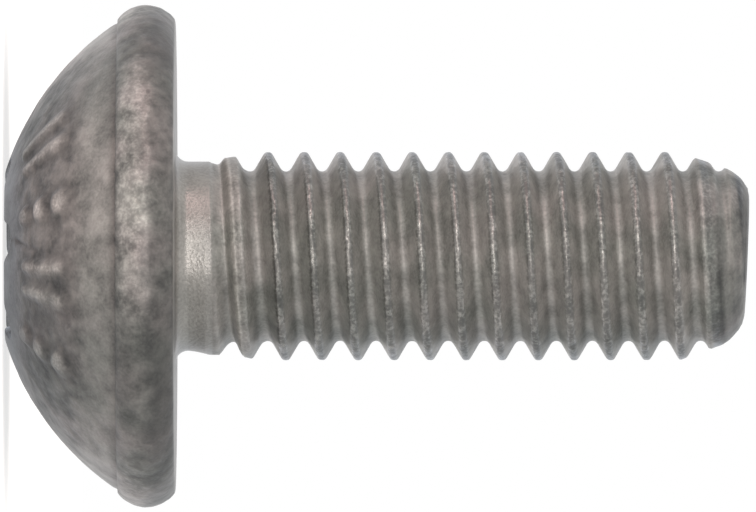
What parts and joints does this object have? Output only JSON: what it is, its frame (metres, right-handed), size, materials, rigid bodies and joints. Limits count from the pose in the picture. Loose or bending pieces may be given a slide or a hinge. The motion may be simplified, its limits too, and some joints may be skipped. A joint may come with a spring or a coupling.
{
  "type": "star drive bolt",
  "caption": "Flanged button head machine bolt with a six-lobe star recess, a short plain neck and a right-hand metric thread.",
  "frame": {"origin": "on the bolt's axis, in the plane of the bearing face under the head", "axes": "+Z along the shank, from the bearing face to the tip; the domed head is on the -Z side, and the bolt stands on it"},
  "size_m": [0.014, 0.014, 0.0206],
  "materials": {
    "steel": "matte"
  },
  "bodies": {
    "root": {"bolt": "steel"}
  },
  "joints": []
}
